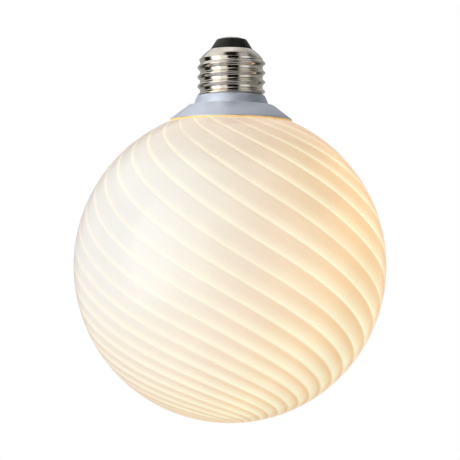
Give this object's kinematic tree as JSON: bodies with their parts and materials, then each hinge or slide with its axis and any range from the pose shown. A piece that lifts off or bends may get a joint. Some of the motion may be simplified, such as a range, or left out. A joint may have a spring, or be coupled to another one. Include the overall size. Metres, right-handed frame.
{
  "type": "decorative led bulb",
  "caption": "Large globe LED bulb of swirled opal glass with a pale moulded collar and a screw cap, lit and hanging cap up.",
  "frame": {"origin": "on the bulb's axis, in the plane where the screw cap meets the collar", "axes": "+Z along the axis out of the cap, up as the bulb hangs; +X to the right in the picture"},
  "size_m": [0.1203, 0.1204, 0.1483],
  "materials": {
    "opal_glass": "glossy",
    "collar_plastic": "satin",
    "plated_metal": "bright",
    "black_insulator": "satin",
    "contact_metal": "bright"
  },
  "bodies": {
    "root": {"swirl_globe": "opal_glass", "collar": "collar_plastic", "screw_shell": "plated_metal", "insulator": "black_insulator", "centre_contact": "contact_metal"}
  },
  "joints": []
}
